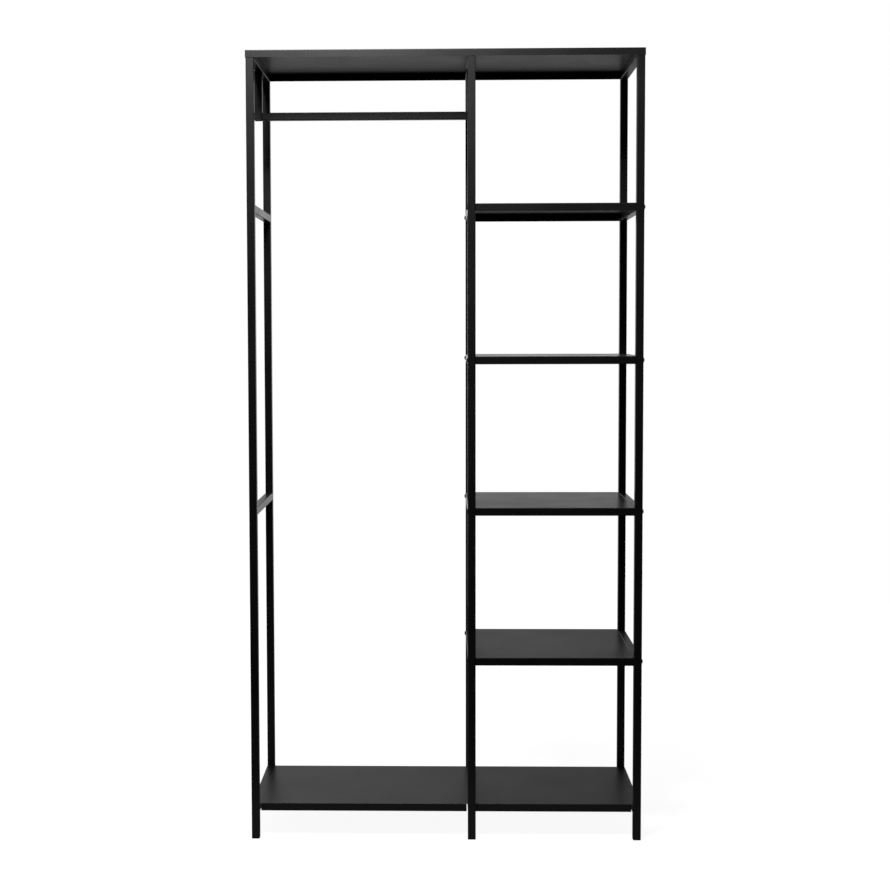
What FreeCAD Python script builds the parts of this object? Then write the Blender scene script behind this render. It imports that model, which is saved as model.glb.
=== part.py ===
import FreeCAD, Part
import os
import re

import Sketcher
from FreeCAD import Placement, Rotation, Vector

# A free-standing clothes rack of black steel. Three ladder frames of square tube stand side by side. A
# folded lid caps them, a folded bottom panel lies on their lowest rails, a clothes rail hangs in the left
# bay and four folded shelves are bolted into the right bay. All lengths are in millimetres. X runs to the
# right, Y to the rear and Z up, from the floor under the middle of the frames.

SIZES = {
    # The whole rack
    "overall_height": 2000,
    "frame_width": 995,
    "frame_depth": 397.6,
    "shelf_bay_width": 401,
    "bottom_panel_height": 87.5,
    # Square tube of the three frames
    "tube_size": 20,
    "tube_wall": 1.2,
    "tube_corner": 2,
    # Folded sheet panels
    "sheet_thickness": 1,
    "sheet_bend": 1.5,
    "lid_lip": 18,
    "lid_clearance": 0.2,
    "shelf_lip": 20,
    "shelf_clearance": 0.2,
    "bottom_lip": 20,
    "bottom_clearance": 0.5,
    "bottom_end_gap": 2.4,
    "bottom_slot_gap": 1.6,
    "bottom_slot_shift": 1.3,
    # Clothes rail and the drops that carry it
    "rail_fall": 140,
    "rail_size": 20,
    "rail_wall": 1.2,
    "rail_corner": 2,
    "plug_length": 20,
    "plug_clearance": 0.2,
    # Dome-head bolts and hexagon nuts
    "bolt_size": 6,
    "bolt_head_size": 11.5,
    "bolt_head_height": 3.4,
    "bolt_head_rim": 1.5,
    "bolt_socket_flats": 4,
    "bolt_socket_depth": 1.6,
    "bolt_hole_clearance": 0.4,
    "bolt_tip": 1.5,
    "nut_flats": 10,
    "nut_height": 5,
    "nut_bore_clearance": 0.2,
    "nut_hole_clearance": 1,
    "panel_bolt_inset": 18,
    # Plastic foot caps
    "foot_flange": 3,
    "foot_round": 0.8,
    "foot_plug": 14,
    "foot_clearance": 0.2,
    # How far a cut runs past the face that it opens
    "cut_overrun": 2,
}
SHELF_COUNT = 4

doc = FreeCAD.newDocument("clothes_rack")
sheet = doc.addObject("Spreadsheet::Sheet", "Sizes")
for row, (alias, value) in enumerate(SIZES.items(), start=1):
    sheet.set(f"A{row}", alias)
    sheet.set(f"B{row}", str(value))
    sheet.setAlias(f"B{row}", alias)
doc.recompute()

# Places and lengths that several pieces share, written in the sheet's names
LEFT_X = "(tube_size / 2 - frame_width / 2)"
RIGHT_X = "(frame_width / 2 - tube_size / 2)"
MIDDLE_X = f"({RIGHT_X} - shelf_bay_width - tube_size)"
SHELF_X = f"(({MIDDLE_X} + {RIGHT_X}) / 2)"
REAR_Y = "(frame_depth / 2 - tube_size / 2)"
FRONT_Y = f"(-{REAR_Y})"
POST_SPACING = "(frame_depth - tube_size)"
CROSS_LENGTH = "(frame_depth - 2 * tube_size)"
CROSS_START = f"(-{CROSS_LENGTH} / 2)"
PANEL_SPACING = "(overall_height - bottom_panel_height)"
PITCH = f"({PANEL_SPACING} / {SHELF_COUNT + 1})"
FRAME_TOP = "(overall_height - sheet_thickness)"
BOTTOM_CROSS_TOP = "(bottom_panel_height - sheet_thickness)"
SHELF_WIDTH = "(shelf_bay_width - 2 * shelf_clearance)"
HOLE_SIZE = "(bolt_size + bolt_hole_clearance)"
BORE_SIZE = "(bolt_size + nut_bore_clearance)"
NUT_HOLE_SIZE = "(2 * nut_flats / sqrt(3) + nut_hole_clearance)"
RAIL_Z = "(overall_height - rail_fall)"
RAIL_LEFT = f"({LEFT_X} + rail_size / 2)"
RAIL_RIGHT = f"({MIDDLE_X} - rail_size / 2)"
FRAMES = {"left": LEFT_X, "middle": MIDDLE_X, "right": RIGHT_X}
SIDES = {"front": FRONT_Y, "rear": REAR_Y}
PANEL_RAILS = {"top": FRAME_TOP, "bottom": BOTTOM_CROSS_TOP}

# Turns that point a piece's own Z axis along another axis of the rack
UPRIGHT = Rotation()
TO_REAR = Rotation(Vector(1, 0, 0), -90)
TO_RIGHT = Rotation(Vector(0, 1, 0), 90)
TO_LEFT = Rotation(Vector(0, 1, 0), -90)


def shelf_top(number):
    """Height of a shelf's top, counted down from the highest shelf as 1."""
    return f"(overall_height - {number} * {PITCH})"


def bound(text):
    """Expression in which each size is led by the name of its sheet."""
    return re.sub(r"[a-z_]+", lambda word: "Sizes." + word[0] if word[0] in SIZES else word[0], text)


def size(text):
    """Present value of an expression."""
    return float(sheet.evalExpression(bound(text)))


def new_body(label, rotation, x, y, z):
    body = doc.addObject("PartDesign::Body", label)
    body.Label = label
    body.Placement = Placement(Vector(), rotation)
    for axis, place in zip("xyz", (x, y, z)):
        body.setExpression(f".Placement.Base.{axis}", bound(place))
    bodies.append(body)
    return body


def origin_feature(body, role):
    return next(feature for feature in body.Origin.OriginFeatures if feature.Role == role)


def new_feature(body, kind, **lengths):
    """Feature of the body, with its lengths bound to the sheet."""
    feature = body.newObject("PartDesign::" + kind, kind)
    for name, text in lengths.items():
        feature.setExpression(name, bound(text))
    return feature


def finish(body, feature):
    body.Tip = feature
    doc.recompute()
    return feature


def new_sketch(body, role):
    sketch = body.newObject("Sketcher::SketchObject", "Sketch")
    sketch.AttachmentSupport = (origin_feature(body, role), [""])
    sketch.MapMode = "FlatFace"
    return sketch


def measure(sketch, text, kind, *points):
    """Dimension in a sketch, bound to the sheet."""
    number = sketch.addConstraint(Sketcher.Constraint(kind, *points, size(text)))
    sketch.setExpression(f"Constraints[{number}]", bound(text))


def hold(sketch, line, end, x, y):
    """Hold a point of a sketch at x and y from the sketch's origin; lines -1 and -2 are its own axes."""
    for kind, axis, text in (("DistanceX", -2, x), ("DistanceY", -1, y)):
        if text == "0":
            sketch.addConstraint(Sketcher.Constraint("PointOnObject", line, end, axis))
        else:
            measure(sketch, text, kind, -1, 1, line, end)


def rectangle(sketch, left, right, low, high):
    corners = [(left, low), (right, low), (right, high), (left, high)]
    points = [Vector(size(x), size(y), 0) for x, y in corners]
    first = sketch.GeometryCount
    for index, point in enumerate(points):
        sketch.addGeometry(Part.LineSegment(points[index - 1], point))
    for index, (x, y) in enumerate(corners):
        after = first + (index + 1) % len(corners)
        sketch.addConstraint(Sketcher.Constraint("Coincident", first + index, 2, after, 1))
        hold(sketch, first + index, 2, x, y)


def centred_rectangle(sketch, width, depth):
    rectangle(sketch, f"(-{width} / 2)", f"({width} / 2)", f"(-{depth} / 2)", f"({depth} / 2)")


def circle(sketch, diameter, x, y):
    ring = Part.Circle(Vector(size(x), size(y), 0), Vector(0, 0, 1), size(diameter) / 2)
    number = sketch.addGeometry(ring)
    measure(sketch, diameter, "Diameter", number)
    hold(sketch, number, 3, x, y)


def pad(body, sketch, length):
    feature = new_feature(body, "Pad", Length=length)
    feature.Profile = sketch
    return finish(body, feature)


def cut_up(body, sketch, depth):
    """Pocket from the body's XY plane upwards."""
    feature = new_feature(body, "Pocket", Length=depth)
    feature.Profile = sketch
    feature.Reversed = True
    return finish(body, feature)


def drill(body, sketch, sides="Symmetric", back=False):
    """Holes from the sketch's plane through all that lies on both sides of it, or on one."""
    feature = new_feature(body, "Pocket")
    feature.Profile = sketch
    feature.Type = "ThroughAll"
    feature.SideType = sides
    feature.Reversed = back
    return finish(body, feature)


def round_edges(body, chosen, radius):
    """Fillet on the edges of the body's tip that a test picks by their boxes."""
    base = body.Tip
    edges = enumerate(base.Shape.Edges, start=1)
    names = [f"Edge{number}" for number, edge in edges if chosen(edge.BoundBox)]
    feature = new_feature(body, "Fillet", Radius=radius)
    feature.Base = (base, names)
    return finish(body, feature)


def copies(body, originals, *directions):
    """Rows of copies along one or two of the body's own axes, each given as axis, spacing and count."""
    feature = new_feature(body, "LinearPattern")
    feature.Originals = originals
    for ending, (role, spacing, count) in zip(("", "2"), directions):
        setattr(feature, "Direction" + ending, (origin_feature(body, role), [""]))
        feature.setExpression("Length" + ending, bound(f"{spacing} * {count - 1}"))
        setattr(feature, "Occurrences" + ending, count)
    return finish(body, feature)


def upright(box):
    return box.ZLength > box.XLength + box.YLength


def reach(box):
    """How far an upright edge stands from the body's Z axis, along X or Y."""
    return max(abs(box.Center.x), abs(box.Center.y))


def tube(label, family, length, rotation, x, y, z):
    """Square tube with rounded corners, along its own Z axis."""
    outer = f"{family}_size"
    wall = f"{family}_wall"
    corner = f"{family}_corner"
    body = new_body(label, rotation, x, y, z)
    section = new_sketch(body, "XY_Plane")
    centred_rectangle(section, outer, outer)
    centred_rectangle(section, f"({outer} - 2 * {wall})", f"({outer} - 2 * {wall})")
    pad(body, section, length)
    mid_wall = size(f"({outer} - {wall}) / 2")
    round_edges(body, lambda box: upright(box) and reach(box) > mid_wall, corner)
    round_edges(body, lambda box: upright(box) and reach(box) < mid_wall, f"({corner} - {wall})")
    return body


def cross_rail(label, x, top):
    """Rail that runs from the front post to the rear post of a frame."""
    return tube(label, "tube", CROSS_LENGTH, TO_REAR, x, CROSS_START, f"({top} - tube_size / 2)")


def panel_rail(label, x, top):
    """Rail under a long panel: a bolt hole in its lower wall, a wider hole for the nut in its upper wall."""
    body = cross_rail(label, x, top)
    for diameter, back in ((HOLE_SIZE, False), (NUT_HOLE_SIZE, True)):
        holes = new_sketch(body, "XZ_Plane")
        circle(holes, diameter, "0", "panel_bolt_inset")
        circle(holes, diameter, "0", f"({CROSS_LENGTH} - panel_bolt_inset)")
        drill(body, holes, "One side", back)


def pan(label, width, depth, lip, x, top):
    """Sheet folded down along all four sides; its own Z starts at the foot of the lips."""
    body = new_body(label, UPRIGHT, x, "0", f"({top} - {lip})")
    outline = new_sketch(body, "XY_Plane")
    centred_rectangle(outline, width, depth)
    pad(body, outline, lip)
    mid_lip = size(lip) / 2
    round_edges(body, lambda box: box.ZMax > mid_lip, "sheet_bend")
    hollow = new_sketch(body, "XY_Plane")
    centred_rectangle(hollow, f"({width} - 2 * sheet_thickness)", f"({depth} - 2 * sheet_thickness)")
    cut_up(body, hollow, f"({lip} - sheet_thickness)")
    return body


def bolt(label, length, rotation, x, y, z, *directions):
    """Dome-head bolt that points along its own Z axis from the crown of its head at its own origin."""
    body = new_body(label, rotation, x, y, z)
    profile = new_sketch(body, "XZ_Plane")
    corners = [
        ("bolt_head_size / 2", "bolt_head_height - bolt_head_rim"),
        ("bolt_head_size / 2", "bolt_head_height"),
        ("bolt_size / 2", "bolt_head_height"),
        ("bolt_size / 2", f"bolt_head_height + {length}"),
        ("0", f"bolt_head_height + {length}"),
        ("0", "0"),
    ]
    points = [Vector(size(corner_x), size(corner_z), 0) for corner_x, corner_z in corners]
    for start, end in zip(points, points[1:]):
        profile.addGeometry(Part.LineSegment(start, end))
    # The dome is drawn through a rough middle point; its ends and its centre on the axis then set it
    middle = (points[0] + points[-1]) / 2 - Vector(0, size("bolt_head_rim"), 0)
    dome = profile.addGeometry(Part.Arc(points[-1], middle, points[0]))
    for line in range(dome):
        profile.addConstraint(Sketcher.Constraint("Coincident", line, 2, line + 1, 1))
    profile.addConstraint(Sketcher.Constraint("Coincident", dome, 2, 0, 1))
    profile.addConstraint(Sketcher.Constraint("PointOnObject", dome, 3, -2))
    for line, (corner_x, corner_z) in enumerate(corners):
        hold(profile, line, 1, corner_x, corner_z)
    turned = new_feature(body, "Revolution")
    turned.Profile = profile
    turned.ReferenceAxis = (profile, ["V_Axis"])
    finish(body, turned)
    socket = new_feature(body, "SubtractivePrism", Circumradius="bolt_socket_flats / sqrt(3)",
                         Height="bolt_socket_depth")
    finish(body, socket)
    if directions:
        copies(body, [turned, socket], *directions)


def nut(label, rotation, x, y, z, *directions):
    """Hexagon nuts that start at their own origin and reach along their own Z axis."""
    body = new_body(label, rotation, x, y, z)
    block = new_feature(body, "AdditivePrism", Circumradius="nut_flats / sqrt(3)", Height="nut_height")
    finish(body, block)
    bore = new_feature(body, "SubtractiveCylinder", Radius=f"{BORE_SIZE} / 2",
                       Height="nut_height + 2 * cut_overrun")
    bore.setExpression(".Placement.Base.z", bound("-cut_overrun"))
    finish(body, bore)
    copies(body, [block, bore], *directions)


def rail_plug(label, rotation, x):
    """Block in an end of the clothes rail, bored for the bolt that comes through the drop."""
    width = "(rail_size - 2 * (rail_wall + plug_clearance))"
    body = new_body(label, rotation, x, "0", RAIL_Z)
    section = new_sketch(body, "XY_Plane")
    centred_rectangle(section, width, width)
    pad(body, section, "plug_length")
    round_edges(body, upright, "(rail_corner - rail_wall)")
    bore = new_sketch(body, "XY_Plane")
    circle(bore, BORE_SIZE, "0", "0")
    drill(body, bore)


def foot(label, x, y):
    """Cap for the open lower end of a post: a flange to stand on and a plug inside the tube."""
    body = new_body(label, UPRIGHT, x, y, "0")
    flange = new_sketch(body, "XY_Plane")
    centred_rectangle(flange, "tube_size", "tube_size")
    pad(body, flange, "foot_flange")
    round_edges(body, upright, "tube_corner")
    mid_flange = size("foot_flange / 2")
    round_edges(body, lambda box: box.ZMax < mid_flange, "foot_round")
    plug = new_sketch(body, "XY_Plane")
    width = "(tube_size - 2 * (tube_wall + foot_clearance))"
    centred_rectangle(plug, width, width)
    pad(body, plug, "(foot_flange + foot_plug)")
    mid_plug = size("foot_flange + foot_plug / 2")
    round_edges(body, lambda box: upright(box) and box.ZMax > mid_plug, "(tube_corner - tube_wall)")


bodies = []

# Six posts; those beside the shelves are drilled for the shelf bolts
for frame, frame_x in FRAMES.items():
    for side, side_y in SIDES.items():
        post = tube(f"{frame}_{side}_post", "tube", f"({FRAME_TOP} - foot_flange)", UPRIGHT,
                    frame_x, side_y, "foot_flange")
        if frame != "left":
            hole = new_sketch(post, "YZ_Plane")
            circle(hole, HOLE_SIZE, "0", f"({shelf_top(SHELF_COUNT)} - shelf_lip / 2 - foot_flange)")
            copies(post, [drill(post, hole)], ("Z_Axis", PITCH, SHELF_COUNT))
        foot(f"{frame}_{side}_foot", frame_x, side_y)

# Cross rails of the three frames
for frame, frame_x in FRAMES.items():
    for level, top in PANEL_RAILS.items():
        panel_rail(f"{frame}_{level}_rail", frame_x, top)
cross_rail("left_upper_rail", LEFT_X, shelf_top(1))
cross_rail("left_middle_rail", LEFT_X, shelf_top(3))
for shelf in range(1, SHELF_COUNT + 1):
    cross_rail(f"middle_shelf_rail_{shelf}", MIDDLE_X, shelf_top(shelf))
    cross_rail(f"right_shelf_rail_{shelf}", RIGHT_X, shelf_top(shelf))

# Lid over all three frames
LID_MARGIN = "2 * (sheet_thickness + lid_clearance)"
LID_WIDTH = f"(frame_width + {LID_MARGIN})"
LID_DEPTH = f"(frame_depth + {LID_MARGIN})"
pan("top_panel", LID_WIDTH, LID_DEPTH, "lid_lip", "0", "overall_height")

# Shelves, drilled through their side lips for the bolts
for shelf in range(1, SHELF_COUNT + 1):
    board = pan(f"shelf_{shelf}", SHELF_WIDTH, "frame_depth", "shelf_lip", SHELF_X, shelf_top(shelf))
    holes = new_sketch(board, "YZ_Plane")
    for side_y in SIDES.values():
        circle(holes, HOLE_SIZE, side_y, "shelf_lip / 2")
    drill(board, holes)

# Bottom panel: it lies on the bottom rails between the posts, and its lips are cut away over the rails
BOTTOM_DEPTH = "(frame_depth - 2 * (tube_size + bottom_clearance))"
BOTTOM_HOLLOW = "(bottom_lip - sheet_thickness)"
BOTTOM_END = "(frame_width / 2 + cut_overrun)"
LIP_END = "(frame_width / 2 - tube_size - bottom_end_gap)"
LIP_REAR = f"({BOTTOM_DEPTH} / 2 + cut_overrun)"
SLOT_X = f"({MIDDLE_X} - bottom_slot_shift)"
SLOT_REACH = "(tube_size / 2 + bottom_slot_gap)"
bottom = new_body("bottom_panel", UPRIGHT, "0", "0", "(bottom_panel_height - bottom_lip)")
outline = new_sketch(bottom, "XY_Plane")
centred_rectangle(outline, "frame_width", BOTTOM_DEPTH)
pad(bottom, outline, "bottom_lip")
mid_lip = size("bottom_lip / 2")
round_edges(bottom, lambda box: box.ZMin > mid_lip and box.XLength > box.YLength, "sheet_bend")
channel = new_sketch(bottom, "XY_Plane")
centred_rectangle(channel, f"(2 * {BOTTOM_END})", f"({BOTTOM_DEPTH} - 2 * sheet_thickness)")
cut_up(bottom, channel, BOTTOM_HOLLOW)
slots = new_sketch(bottom, "XY_Plane")
for left, right in (
    (f"(-{BOTTOM_END})", f"(-{LIP_END})"),
    (f"({SLOT_X} - {SLOT_REACH})", f"({SLOT_X} + {SLOT_REACH})"),
    (LIP_END, BOTTOM_END),
):
    rectangle(slots, left, right, f"(-{LIP_REAR})", LIP_REAR)
cut_up(bottom, slots, BOTTOM_HOLLOW)

# Clothes rail between its two drops, with a bored plug in each end
tube("clothes_rail", "rail", f"({RAIL_RIGHT} - {RAIL_LEFT})", TO_RIGHT, RAIL_LEFT, "0", RAIL_Z)
for frame in ("left", "middle"):
    drop_foot = f"({RAIL_Z} - rail_size / 2)"
    drop = tube(f"{frame}_rail_drop", "rail", f"({FRAME_TOP} - tube_size - {drop_foot})", UPRIGHT,
                FRAMES[frame], "0", drop_foot)
    hole = new_sketch(drop, "YZ_Plane")
    circle(hole, HOLE_SIZE, "0", "(rail_size / 2)")
    drill(drop, hole)
rail_plug("left_rail_plug", TO_RIGHT, RAIL_LEFT)
rail_plug("middle_rail_plug", TO_LEFT, RAIL_RIGHT)
RAIL_BOLT = "(rail_size + plug_length - bolt_tip)"
RAIL_CROWN = "(rail_size / 2 + bolt_head_height)"
bolt("left_rail_bolt", RAIL_BOLT, TO_RIGHT, f"({LEFT_X} - {RAIL_CROWN})", "0", RAIL_Z)
bolt("middle_rail_bolt", RAIL_BOLT, TO_LEFT, f"({MIDDLE_X} + {RAIL_CROWN})", "0", RAIL_Z)

# Shelf bolts through the posts and the weld nuts behind the shelves' side lips, in rows up the posts
SHELF_BOLT = "(tube_size + shelf_clearance + sheet_thickness + nut_height + bolt_tip)"
SHELF_CROWN = "(tube_size / 2 + bolt_head_height)"
NUT_SEAT = "(tube_size / 2 + shelf_clearance + sheet_thickness)"
HIGHEST = f"({shelf_top(1)} - shelf_lip / 2)"
LOWEST = f"({shelf_top(SHELF_COUNT)} - shelf_lip / 2)"
ROWS = (("X_Axis", PITCH, SHELF_COUNT), ("Y_Axis", POST_SPACING, len(SIDES)))
bolt("middle_shelf_bolts", SHELF_BOLT, TO_RIGHT, f"({MIDDLE_X} - {SHELF_CROWN})", FRONT_Y, HIGHEST, *ROWS)
bolt("right_shelf_bolts", SHELF_BOLT, TO_LEFT, f"({RIGHT_X} + {SHELF_CROWN})", FRONT_Y, LOWEST, *ROWS)
nut("middle_shelf_nuts", TO_RIGHT, f"({MIDDLE_X} + {NUT_SEAT})", FRONT_Y, HIGHEST, *ROWS)
nut("right_shelf_nuts", TO_LEFT, f"({RIGHT_X} - {NUT_SEAT})", FRONT_Y, LOWEST, *ROWS)

# Bolts up through the top and bottom rails into weld nuts under the two long panels
BOLT_SPACING = f"({CROSS_LENGTH} - 2 * panel_bolt_inset)"
ROWS = (("Y_Axis", BOLT_SPACING, len(SIDES)), ("Z_Axis", PANEL_SPACING, len(PANEL_RAILS)))
BOLT_Y = f"({CROSS_START} + panel_bolt_inset)"
for frame, frame_x in FRAMES.items():
    bolt(f"{frame}_panel_bolts", "(tube_size - bolt_tip)", UPRIGHT, frame_x, BOLT_Y,
         f"({BOTTOM_CROSS_TOP} - tube_size - bolt_head_height)", *ROWS)
    nut(f"{frame}_panel_nuts", UPRIGHT, frame_x, BOLT_Y, f"({BOTTOM_CROSS_TOP} - nut_height)", *ROWS)

# Check every object, then write one file for each sub-part
doc.recompute()
for thing in doc.Objects:
    if "Invalid" in thing.State or "Error" in thing.State:
        raise RuntimeError(f"{thing.Label} failed: {thing.State}")
for body in bodies:
    if body.Shape.isNull() or not body.Shape.isValid():
        raise RuntimeError(f"{body.Label} has no sound shape")
os.makedirs("parts", exist_ok=True)
for body in bodies:
    body.Shape.exportStep(f"parts/{body.Label}.step")
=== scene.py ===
import math

import bmesh
import bpy
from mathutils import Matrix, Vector


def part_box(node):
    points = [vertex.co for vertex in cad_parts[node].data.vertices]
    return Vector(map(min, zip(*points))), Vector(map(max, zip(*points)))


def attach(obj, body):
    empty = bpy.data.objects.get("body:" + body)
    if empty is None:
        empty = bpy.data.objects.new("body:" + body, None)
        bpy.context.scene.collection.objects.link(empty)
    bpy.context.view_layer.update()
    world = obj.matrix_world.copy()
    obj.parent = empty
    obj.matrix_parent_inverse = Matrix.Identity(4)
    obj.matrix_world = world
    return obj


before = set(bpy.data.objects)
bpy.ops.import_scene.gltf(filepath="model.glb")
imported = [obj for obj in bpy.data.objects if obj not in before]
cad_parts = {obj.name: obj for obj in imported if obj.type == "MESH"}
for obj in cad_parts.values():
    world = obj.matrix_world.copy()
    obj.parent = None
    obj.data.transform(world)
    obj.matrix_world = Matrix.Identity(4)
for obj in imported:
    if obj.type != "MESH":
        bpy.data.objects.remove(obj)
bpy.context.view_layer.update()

bpy.ops.object.select_all(action="DESELECT")


# Six upright posts: 20 mm square steel tube with rounded corners, sawn to length and welded into
# three ladder frames. The frames are sprayed with black powder and baked, which leaves a satin
# film with a fine orange peel.

def feed(tree, value, socket):
    """Link a socket to an input, or write a value into it."""
    if isinstance(value, bpy.types.NodeSocket):
        tree.links.new(value, socket)
    else:
        socket.default_value = value


def add_node(tree, kind, **inputs):
    """A node of a tree, with its inputs fed by name."""
    node = tree.nodes.new(kind)
    for name, value in inputs.items():
        feed(tree, value, node.inputs[name.replace("_", " ")])
    return node


def calculate(tree, operation, *values):
    """A Math node over sockets or numbers."""
    node = tree.nodes.new("ShaderNodeMath")
    node.operation = operation
    for socket, value in zip(node.inputs, values):
        feed(tree, value, socket)
    return node.outputs["Value"]


def measure(tree, operation, *vectors):
    """A Vector Math node over sockets, whose answer is a number."""
    node = tree.nodes.new("ShaderNodeVectorMath")
    node.operation = operation
    for socket, vector in zip(node.inputs, vectors):
        tree.links.new(vector, socket)
    return node.outputs["Value"]


def remap(tree, value, source, target=(0.0, 1.0)):
    """A value carried from one range to another and held inside it."""
    node = add_node(tree, "ShaderNodeMapRange", Value=value, From_Min=source[0],
                    From_Max=source[1], To_Min=target[0], To_Max=target[1])
    return node.outputs["Result"]


# A Mix node repeats its sockets for each kind of value, so its colours are found by number
FIRST_COLOUR, SECOND_COLOUR, MIXED_COLOUR = 6, 7, 2


def blend_colours(tree, share, first, second):
    """A colour between two others."""
    node = tree.nodes.new("ShaderNodeMix")
    node.data_type = "RGBA"
    feed(tree, share, node.inputs["Factor"])
    feed(tree, first, node.inputs[FIRST_COLOUR])
    feed(tree, second, node.inputs[SECOND_COLOUR])
    return node.outputs[MIXED_COLOUR]


def own_place(tree):
    """Where a point lies on the rack."""
    return tree.nodes.new("ShaderNodeTexCoord").outputs["Object"]


def noise(tree, scale, detail, place=None):
    """Noise on the rack's own coordinates, or on a place worked out from them."""
    if place is None:
        place = own_place(tree)
    node = add_node(tree, "ShaderNodeTexNoise", Vector=place, Scale=scale, Detail=detail)
    return node.outputs["Fac"]


def raise_surface(tree, shader, height):
    """Bump a shader's normal by a height in metres."""
    bump = add_node(tree, "ShaderNodeBump", Strength=1.0, Distance=1.0, Height=height)
    tree.links.new(bump.outputs["Normal"], shader.inputs["Normal"])


def surface_normal(tree):
    """The direction that the surface faces."""
    return tree.nodes.new("ShaderNodeNewGeometry").outputs["Normal"]


UPWARD_RANGE = (0.7, 0.98)


def upward(tree):
    """How far the surface faces up: 0 on sides, 1 on tops."""
    facing = add_node(tree, "ShaderNodeSeparateXYZ", Vector=surface_normal(tree))
    return remap(tree, facing.outputs["Z"], UPWARD_RANGE)


def new_material(name):
    """An empty material, with its tree and its shader."""
    material = bpy.data.materials.new(name)
    material.use_nodes = True
    return material, material.node_tree, material.node_tree.nodes["Principled BSDF"]


def new_group(name, inputs, outputs):
    """An empty shader node group whose sockets are all numbers."""
    group = bpy.data.node_groups.new(name, "ShaderNodeTree")
    for label, value in inputs.items():
        socket = group.interface.new_socket(label, in_out="INPUT", socket_type="NodeSocketFloat")
        socket.default_value = value
    for label in outputs:
        group.interface.new_socket(label, in_out="OUTPUT", socket_type="NodeSocketFloat")
    start = group.nodes.new("NodeGroupInput")
    end = group.nodes.new("NodeGroupOutput")
    return group, start.outputs, end.inputs


def place_group(tree, group, **inputs):
    """A group set into a material with its own values."""
    node = tree.nodes.new("ShaderNodeGroup")
    node.node_tree = group
    for name, value in inputs.items():
        node.inputs[name.replace("_", " ")].default_value = value
    return node.outputs


# Orange peel: low bumps a millimetre or two wide over a much finer grain, and slow drifts in the
# film's thickness
FILM_GRAIN_SHARE = 0.25
film, film_in, film_out = new_group(
    "baked_film", {"Peel Scale": 650.0, "Grain Scale": 4200.0, "Drift Scale": 7.0},
    ("Height", "Drift"))
peel = noise(film, film_in["Peel Scale"], detail=1.0)
grain = noise(film, film_in["Grain Scale"], detail=2.0)
film.links.new(calculate(film, "MULTIPLY_ADD", grain, FILM_GRAIN_SHARE, peel), film_out["Height"])
film.links.new(noise(film, film_in["Drift Scale"], detail=3.0), film_out["Drift"])

# Thin edges: a melted film draws back from sharp corners, so they are a little paler and shinier.
# An edge is where the normal of a rounded copy turns away from the true one; the range holds the
# cosines of the least turn and of a full one.
EDGE_TURN = (0.99, 0.8)
edges, edges_in, edges_out = new_group("thin_edges", {"Radius": 0.0012}, ("Mask",))
rounded = add_node(edges, "ShaderNodeBevel", Radius=edges_in["Radius"])
rounded.samples = 4
turned = measure(edges, "DOT_PRODUCT", rounded.outputs["Normal"], surface_normal(edges))
edges.links.new(remap(edges, turned, EDGE_TURN), edges_out["Mask"])

# Dust: faint specks that settle in patches on what faces up
SPECK_RANGE = (0.6, 0.75)
PATCH_RANGE = (0.35, 0.65)
dust, dust_in, dust_out = new_group("settled_dust", {"Speck Scale": 900.0, "Patch Scale": 5.0},
                                    ("Mask",))
specks = remap(dust, noise(dust, dust_in["Speck Scale"], detail=2.0), SPECK_RANGE)
patches = remap(dust, noise(dust, dust_in["Patch Scale"], detail=2.0), PATCH_RANGE)
settled = calculate(dust, "MULTIPLY", specks, patches)
dust.links.new(calculate(dust, "MULTIPLY", upward(dust), settled), dust_out["Mask"])

COAT_BLACK = (0.004, 0.004, 0.0043, 1.0)
COAT_DEEP = (0.003, 0.003, 0.0032, 1.0)
COAT_PALE = (0.026, 0.026, 0.027, 1.0)
DUST_GREY = (0.35, 0.34, 0.32, 1.0)
DRIFT_RANGE = (0.3, 0.7)
EDGE_PALENESS = 0.6
DUST_SHARE = 0.05
COAT_SPECULAR = 0.5
COAT_ROUGHNESS = 0.38
ROUGHNESS_DRIFT = 0.05
EDGE_GLOSS = 0.05
GLANCING_GLOSS = 0.14
GLANCING_RANGE = (0.82, 0.985)
PEEL_HEIGHT = 0.00002


def powder_coat(name, wave_height=0.0, wave_scale=3.5):
    """Satin powder coat: drifting black, pale at thin edges, with a peel and slow waves in what
    it lies on. It is a little glossier at a glancing look."""
    material, tree, shader = new_material(name)
    shader.inputs["Specular IOR Level"].default_value = COAT_SPECULAR
    coat = place_group(tree, film)
    thin = place_group(tree, edges)["Mask"]
    dusty = place_group(tree, dust)["Mask"]
    drift = remap(tree, coat["Drift"], DRIFT_RANGE)
    colour = blend_colours(tree, drift, COAT_DEEP, COAT_BLACK)
    pale = calculate(tree, "MULTIPLY", thin, EDGE_PALENESS)
    colour = blend_colours(tree, pale, colour, COAT_PALE)
    dusty = calculate(tree, "MULTIPLY", dusty, DUST_SHARE)
    tree.links.new(blend_colours(tree, dusty, colour, DUST_GREY), shader.inputs["Base Color"])
    matt = calculate(tree, "MULTIPLY_ADD", drift, ROUGHNESS_DRIFT,
                     COAT_ROUGHNESS - ROUGHNESS_DRIFT / 2)
    matt = calculate(tree, "MULTIPLY_ADD", thin, -EDGE_GLOSS, matt)
    facing = add_node(tree, "ShaderNodeLayerWeight", Blend=0.5).outputs["Facing"]
    glancing = remap(tree, facing, GLANCING_RANGE)
    tree.links.new(calculate(tree, "MULTIPLY_ADD", glancing, -GLANCING_GLOSS, matt),
                   shader.inputs["Roughness"])
    waves = calculate(tree, "MULTIPLY", noise(tree, wave_scale, detail=1.0), wave_height)
    raise_surface(tree, shader,
                  calculate(tree, "MULTIPLY_ADD", coat["Height"], PEEL_HEIGHT, waves))
    return material


def finish_nodes(names, material):
    """Give a material to CAD nodes."""
    for name in names:
        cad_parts[name].material_slots[0].material = material


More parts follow.
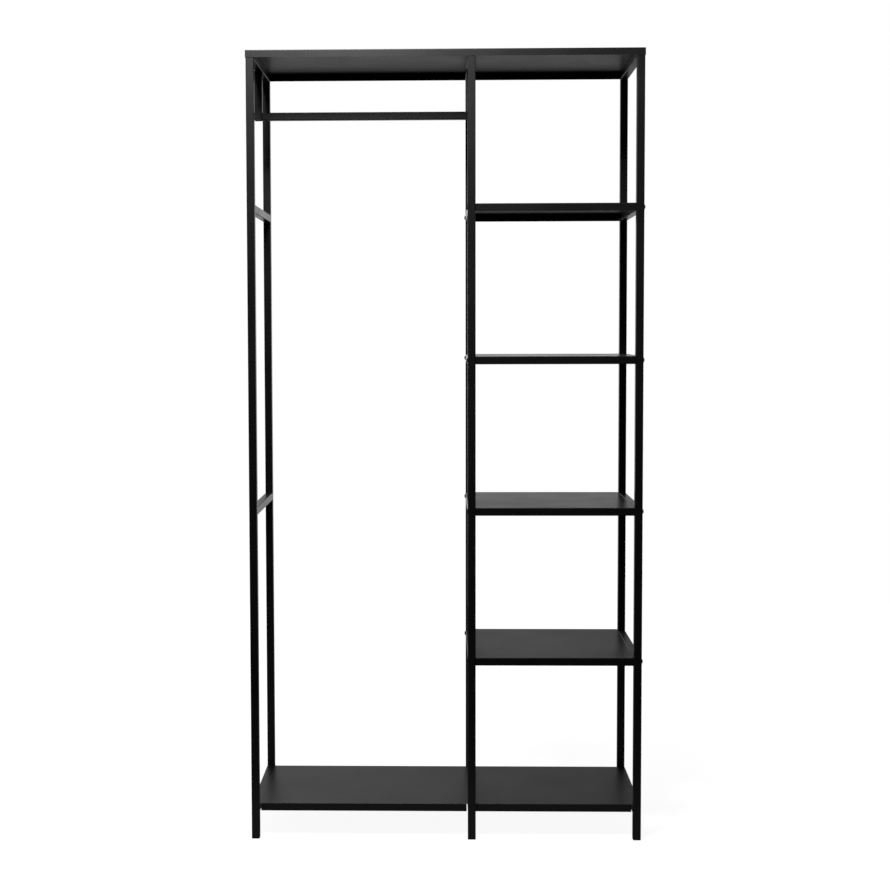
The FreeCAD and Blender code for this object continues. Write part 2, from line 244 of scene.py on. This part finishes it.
SIDES = ("left", "middle", "right")
ENDS = ("front", "rear")
tube_coat = powder_coat("tube_powder_coat")
finish_nodes([f"{side}_{end}_post" for side in SIDES for end in ENDS], tube_coat)


# Cross rails: the same square tube between the front and rear post of each frame. Four are in the
# left frame and six in each of the others, and all are coated with the posts after welding.
SHELF_ROWS = range(1, 5)
RAILS = {"left": ["left_top_rail", "left_upper_rail", "left_middle_rail", "left_bottom_rail"]}
for side in SIDES[1:]:
    RAILS[side] = [f"{side}_top_rail", f"{side}_bottom_rail"]
    RAILS[side] += [f"{side}_shelf_rail_{row}" for row in SHELF_ROWS]
for names in RAILS.values():
    finish_nodes(names, tube_coat)


# Welds: each rail end is welded to its post before the frame is coated. A rippled fillet lies
# below the rail, and a seam fills the groove that the post's round corner leaves at each side.
# The weld on top is ground flush.
FILLET_LEG = 0.003
FILLET_LENGTH = 0.0165
SEAM_RADIUS = 0.0012
SEAM_LENGTH = 0.016
SEAM_OFF_CENTRE = 0.0086
SEAM_IN_POST = 0.0006
RUN_SIDES = 12
RIPPLE_PITCH = 0.0018
RIPPLE_WAIST = 0.88
END_PINCH = 0.65
WELD_SUNK = 0.0003
WELD_SMOOTH_ANGLE = math.radians(50)
QUARTER_TURN = math.radians(90)
HALF_TURN = 2 * QUARTER_TURN
CENTRE = (0.0, 0.0, 0.0)


def select_points(piece, chosen):
    """Select the points of the mesh in edit mode that a test on their place picks."""
    bpy.ops.mesh.select_mode(type="VERT")
    bpy.ops.mesh.select_all(action="DESELECT")
    mesh = bmesh.from_edit_mesh(piece.data)
    for point in mesh.verts:
        point.select_set(chosen(point.co))
    mesh.select_flush(True)
    bmesh.update_edit_mesh(piece.data)


def weld_run(name, radius, length):
    """A run of weld along X, left in edit mode: rings that swell and shrink, with pinched ends."""
    ripples = round(length / RIPPLE_PITCH)
    ring_gap = length / (2 * ripples)
    bpy.ops.mesh.primitive_cylinder_add(vertices=RUN_SIDES, radius=radius, depth=length,
                                        rotation=(0.0, QUARTER_TURN, 0.0))
    run = bpy.context.object
    run.name = name
    bpy.ops.object.transform_apply(location=True, rotation=True, scale=True)
    bpy.ops.object.mode_set(mode="EDIT")
    bpy.ops.mesh.select_mode(type="EDGE")
    bpy.ops.mesh.select_all(action="DESELECT")
    mesh = bmesh.from_edit_mesh(run.data)
    for edge in mesh.edges:
        edge.select_set(edge.calc_length() > length / 2)
    bmesh.update_edit_mesh(run.data)
    bpy.ops.mesh.subdivide(number_cuts=2 * ripples - 1)
    select_points(run, lambda place: round((place.x + length / 2) / ring_gap) % 2 == 0)
    bpy.ops.transform.resize(value=(1.0, RIPPLE_WAIST, RIPPLE_WAIST), center_override=CENTRE)
    select_points(run, lambda place: abs(place.x) > length / 2 - ring_gap / 2)
    bpy.ops.transform.resize(value=(1.0, END_PINCH, END_PINCH), center_override=CENTRE)
    return run


def lay_welds(name, runs):
    """Copies of weld runs, each at its place and turn, joined into one piece and coated with the
    frame."""
    laid = []
    for pattern, place, turn in runs:
        bpy.ops.object.select_all(action="DESELECT")
        pattern.select_set(True)
        bpy.context.view_layer.objects.active = pattern
        bpy.ops.object.duplicate()
        bpy.context.object.location = place
        bpy.context.object.rotation_euler = turn
        laid.append(bpy.context.object)
    for run in laid:
        run.select_set(True)
    bpy.ops.object.join()
    welds = bpy.context.object
    welds.name = name
    bpy.ops.object.transform_apply(location=True, rotation=True, scale=True)
    bpy.ops.object.shade_smooth_by_angle(angle=WELD_SMOOTH_ANGLE)
    welds.data.materials.append(tube_coat)
    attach(welds, "root")


# The fillet pattern is a quarter of a run, cut for a corner with a face below it and a face behind
# it and sunk a little into both. Each copy is turned to its own corner.
fillet = weld_run("fillet_pattern", FILLET_LEG, FILLET_LENGTH)
for place, facing in (((0.0, WELD_SUNK, 0.0), (0.0, 1.0, 0.0)),
                      ((0.0, 0.0, -WELD_SUNK), (0.0, 0.0, -1.0))):
    bpy.ops.mesh.select_all(action="SELECT")
    bpy.ops.mesh.bisect(plane_co=place, plane_no=facing, use_fill=True, clear_outer=True)
bpy.ops.object.mode_set(mode="OBJECT")
seam = weld_run("seam_pattern", SEAM_RADIUS, SEAM_LENGTH)
bpy.ops.object.mode_set(mode="OBJECT")

for side, names in RAILS.items():
    runs = []
    for name in names:
        low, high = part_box(name)
        middle = (low + high) / 2
        for y, outward, turn in ((low.y, -1, HALF_TURN), (high.y, 1, QUARTER_TURN)):
            runs.append((fillet, (middle.x, y, low.z), (turn, 0.0, 0.0)))
            for across in (-SEAM_OFF_CENTRE, SEAM_OFF_CENTRE):
                place = (middle.x + across, y + outward * SEAM_IN_POST, middle.z)
                runs.append((seam, place, (0.0, QUARTER_TURN, 0.0)))
    lay_welds(f"{side}_welds", runs)


# Rail drops: two short lengths of the frames' square tube, welded under the left and middle top
# rails before coating. They carry the clothes rail.
DROPS = ("left_rail_drop", "middle_rail_drop")
finish_nodes(DROPS, tube_coat)
runs = []
for name in DROPS:
    low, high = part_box(name)
    middle = (low + high) / 2
    runs.append((fillet, (middle.x, low.y, high.z), (QUARTER_TURN, 0.0, 0.0)))
    runs.append((fillet, (middle.x, high.y, high.z), (HALF_TURN, 0.0, 0.0)))
lay_welds("rail_drop_welds", runs)
for pattern in (fillet, seam):
    bpy.data.objects.remove(pattern)


# Feet: caps of black plastic pressed into the open lower ends of the posts. Their mould is
# spark-eroded, which leaves a fine even grain, and their lowest edges are scuffed by the floor.
PLASTIC_BLACK = (0.009, 0.009, 0.0095, 1.0)
PLASTIC_SCUFFED = (0.06, 0.06, 0.058, 1.0)
PLASTIC_SPECULAR = 0.3
PLASTIC_ROUGHNESS = (0.5, 0.62)
PLASTIC_GRAIN_SCALE = 2600.0
PLASTIC_GRAIN_RANGE = (0.3, 0.7)
PLASTIC_GRAIN_HEIGHT = 0.00003
SCUFF_RADIUS = 0.001
SCUFF_SCALE = 420.0
SCUFF_RANGE = (0.45, 0.65)
plastic, tree, shader = new_material("grained_plastic")
shader.inputs["Specular IOR Level"].default_value = PLASTIC_SPECULAR
grain = noise(tree, PLASTIC_GRAIN_SCALE, detail=1.0)
rubbed = calculate(tree, "MULTIPLY", place_group(tree, edges, Radius=SCUFF_RADIUS)["Mask"],
                   remap(tree, noise(tree, SCUFF_SCALE, detail=3.0), SCUFF_RANGE))
tree.links.new(blend_colours(tree, rubbed, PLASTIC_BLACK, PLASTIC_SCUFFED),
               shader.inputs["Base Color"])
tree.links.new(remap(tree, grain, PLASTIC_GRAIN_RANGE, PLASTIC_ROUGHNESS),
               shader.inputs["Roughness"])
raise_surface(tree, shader, calculate(tree, "MULTIPLY", grain, PLASTIC_GRAIN_HEIGHT))
finish_nodes([f"{side}_{end}_foot" for side in SIDES for end in ENDS], plastic)


# Lid, shelves and bottom panel: 1 mm steel sheet with folded lips, coated like the frames. Broad
# thin sheet is never quite flat, so the reflections on it drift a little.
sheet_coat = powder_coat("sheet_powder_coat", wave_height=0.0006)
finish_nodes(["top_panel", "bottom_panel"] + [f"shelf_{row}" for row in SHELF_ROWS], sheet_coat)


# Weld nuts: hexagon nuts welded under the panels and behind the shelves' side lips, and coated
# with them. The powder gathers there, so the film is thick and soft.
nut_coat = powder_coat("nut_powder_coat", wave_height=0.0001, wave_scale=260.0)
finish_nodes([f"{side}_panel_nuts" for side in SIDES], nut_coat)
finish_nodes([f"{side}_shelf_nuts" for side in SIDES[1:]], nut_coat)


# Clothes rail: the same square tube, bolted between the drops, with a plastic plug in each end.
# Hangers have polished fine lines across its top, more in some stretches than in others.
LINE_SCALE = (900.0, 40.0, 40.0)
LINE_RANGE = (0.55, 0.7)
STRETCH_SCALE = 9.0
STRETCH_RANGE = (0.4, 0.6)
LINE_PALENESS = 0.5
LINE_GLOSS = 0.15
rail_coat = powder_coat("rail_powder_coat")
tree = rail_coat.node_tree
shader = tree.nodes["Principled BSDF"]
across = add_node(tree, "ShaderNodeMapping", Vector=own_place(tree), Scale=LINE_SCALE)
lines = noise(tree, scale=1.0, detail=2.0, place=across.outputs["Vector"])
lines = remap(tree, lines, LINE_RANGE)
stretches = remap(tree, noise(tree, STRETCH_SCALE, detail=1.0), STRETCH_RANGE)
polished = calculate(tree, "MULTIPLY", upward(tree), calculate(tree, "MULTIPLY", lines, stretches))
colour = shader.inputs["Base Color"].links[0].from_socket
matt = shader.inputs["Roughness"].links[0].from_socket
pale = calculate(tree, "MULTIPLY", polished, LINE_PALENESS)
tree.links.new(blend_colours(tree, pale, colour, COAT_PALE), shader.inputs["Base Color"])
tree.links.new(calculate(tree, "MULTIPLY_ADD", polished, -LINE_GLOSS, matt),
               shader.inputs["Roughness"])
finish_nodes(["clothes_rail"], rail_coat)
finish_nodes(["left_rail_plug", "middle_rail_plug"], plastic)


# Bolts: dome-head socket screws of black-oxide steel, through the posts into the shelves, up
# through the rails into the panels, and through the drops into the clothes rail. Their rims and
# sockets show a little bare steel.
OXIDE_DARK = (0.006, 0.006, 0.0065, 1.0)
OXIDE_LIGHT = (0.014, 0.0135, 0.013, 1.0)
BARE_STEEL = (0.16, 0.155, 0.15, 1.0)
OXIDE_SPECULAR = 0.08
OXIDE_ROUGHNESS = (0.55, 0.68)
MOTTLE_SCALE = 900.0
MOTTLE_RANGE = (0.3, 0.7)
SCRAPE_RADIUS = 0.0004
SCRAPE_RANGE = (0.5, 0.65)
OXIDE_GRAIN_SCALE = 5000.0
OXIDE_GRAIN_HEIGHT = 0.000006
oxide, tree, shader = new_material("black_oxide")
shader.inputs["Specular IOR Level"].default_value = OXIDE_SPECULAR
mottle = noise(tree, MOTTLE_SCALE, detail=3.0)
scraped = calculate(tree, "MULTIPLY", place_group(tree, edges, Radius=SCRAPE_RADIUS)["Mask"],
                    remap(tree, mottle, SCRAPE_RANGE))
colour = blend_colours(tree, remap(tree, mottle, MOTTLE_RANGE), OXIDE_DARK, OXIDE_LIGHT)
tree.links.new(blend_colours(tree, scraped, colour, BARE_STEEL), shader.inputs["Base Color"])
tree.links.new(scraped, shader.inputs["Metallic"])
tree.links.new(remap(tree, mottle, MOTTLE_RANGE, OXIDE_ROUGHNESS), shader.inputs["Roughness"])
grain = noise(tree, OXIDE_GRAIN_SCALE, detail=1.0)
raise_surface(tree, shader, calculate(tree, "MULTIPLY", grain, OXIDE_GRAIN_HEIGHT))
finish_nodes([f"{side}_panel_bolts" for side in SIDES], oxide)
finish_nodes([f"{side}_shelf_bolts" for side in SIDES[1:]], oxide)
finish_nodes(["left_rail_bolt", "middle_rail_bolt"], oxide)


# Floor: a large flat sheet in matt grey paint, under and behind the rack. A glow that only the
# camera and reflections see makes it white but for the rack's faint shadow. It whitens further
# away, so that it runs into the surround with no edge.
FLOOR_SIZE = (6.0, 4.0, 1.0)
FLOOR_MIDDLE = (0.0, 1.3, 0.0)
FLOOR_GREY = (0.25, 0.25, 0.25, 1.0)
WHITE = (1.0, 1.0, 1.0, 1.0)
NEAR_WHITE = 0.93
FAR_WHITE = 0.98
WHITENING_REACH = (0.7, 1.7)
MIRRORED_WHITE = 0.03
bpy.ops.mesh.primitive_plane_add(size=1.0, location=FLOOR_MIDDLE)
floor = bpy.context.object
floor.name = "studio_floor"
floor.scale = FLOOR_SIZE
bpy.ops.object.transform_apply(location=True, rotation=True, scale=True)
floor_paint, tree, shader = new_material("floor_paint")
shader.inputs["Base Color"].default_value = FLOOR_GREY
shader.inputs["Specular IOR Level"].default_value = 0.0
shader.inputs["Roughness"].default_value = 1.0
shader.inputs["Emission Color"].default_value = WHITE
path = tree.nodes.new("ShaderNodeLightPath").outputs
mirrored = calculate(tree, "MAXIMUM", path["Is Glossy Ray"], path["Is Transmission Ray"])
away = measure(tree, "LENGTH", own_place(tree))
white = remap(tree, away, WHITENING_REACH, (NEAR_WHITE, FAR_WHITE))
shown = calculate(tree, "MULTIPLY_ADD", path["Is Camera Ray"], white,
                  calculate(tree, "MULTIPLY", mirrored, MIRRORED_WHITE))
tree.links.new(shown, shader.inputs["Emission Strength"])
floor.data.materials.append(floor_paint)


# Surround: a white studio all round. Its light is brightest at the horizon behind the rack and
# fades upwards, downwards and towards the front. Higher up it leans to the left, over a weak glow
# from overhead. The bands and the height are shares of a unit direction.
FRONT_GLOW = 0.02
REARWARD_BAND = (-0.3, 0.4)
FAR_GLOW = 0.28
LEVEL_BAND = (0.04, 0.18)
LEFT_LEAN = 0.28
LEAN_BAND = (-0.15, 0.15)
LEAN_HEIGHT = (0.2, 0.32)
OVERHEAD_GLOW = 0.12
OVERHEAD_BAND = (0.15, 0.5)
world = bpy.data.worlds.new("white_surround")
bpy.context.scene.world = world
world.use_nodes = True
tree = world.node_tree
outwards = tree.nodes.new("ShaderNodeTexCoord").outputs["Generated"]
heading = add_node(tree, "ShaderNodeSeparateXYZ", Vector=outwards).outputs
rearward = remap(tree, heading["Y"], REARWARD_BAND, (FRONT_GLOW, 1.0))
level = remap(tree, calculate(tree, "ABSOLUTE", heading["Z"]), LEVEL_BAND, (1.0, FAR_GLOW))
lean = remap(tree, heading["X"], LEAN_BAND, (LEFT_LEAN, -LEFT_LEAN))
level = calculate(tree, "MULTIPLY_ADD", lean, remap(tree, heading["Z"], LEAN_HEIGHT), level)
overhead = remap(tree, heading["Z"], OVERHEAD_BAND, (0.0, OVERHEAD_GLOW))
glow = calculate(tree, "MAXIMUM", calculate(tree, "MULTIPLY", rearward, level), overhead)
seen = tree.nodes.new("ShaderNodeLightPath").outputs["Is Camera Ray"]
background = tree.nodes["Background"]
background.inputs["Color"].default_value = WHITE
tree.links.new(calculate(tree, "MAXIMUM", seen, glow), background.inputs["Strength"])


# Lamp: one broad soft box above and in front of the rack, on its left, and aimed at the upper part
# of the hanging bay. It is hidden from the camera.
LAMP_PLACE = (-0.36, -1.3, 2.8)
LAMP_AIM = Vector((-0.2, 0.0, 1.6))
LAMP_WIDTH = 0.62
LAMP_HEIGHT = 0.45
LAMP_POWER = 40.0
bpy.ops.object.light_add(type="AREA", location=LAMP_PLACE)
lamp = bpy.context.object
lamp.name = "soft_lamp"
lamp.data.shape = "RECTANGLE"
lamp.data.size = LAMP_WIDTH
lamp.data.size_y = LAMP_HEIGHT
lamp.data.energy = LAMP_POWER
lamp.rotation_euler = (LAMP_AIM - lamp.location).to_track_quat("-Z", "Y").to_euler()
lamp.visible_camera = False


# Camera: at chest height, 4 m in front of the rack, tilted down a little. A small shift of the lens
# sets the rack in the frame.
CAMERA_PLACE = (-0.00525, -4.26284, 1.306)
CAMERA_TILT = 0.0584
CAMERA_ROLL = 0.0027
CAMERA_YAW = 0.0234
camera_data = bpy.data.cameras.new("camera")
camera = bpy.data.objects.new("camera", camera_data)
bpy.context.scene.collection.objects.link(camera)
camera.location = CAMERA_PLACE
camera.rotation_euler = (QUARTER_TURN - CAMERA_TILT, CAMERA_ROLL, CAMERA_YAW)
camera_data.sensor_width = 36.0
camera_data.lens = 65.33
camera_data.shift_x = 0.0447
camera_data.shift_y = -0.025
bpy.context.scene.camera = camera
bpy.context.scene.view_settings.view_transform = "Standard"
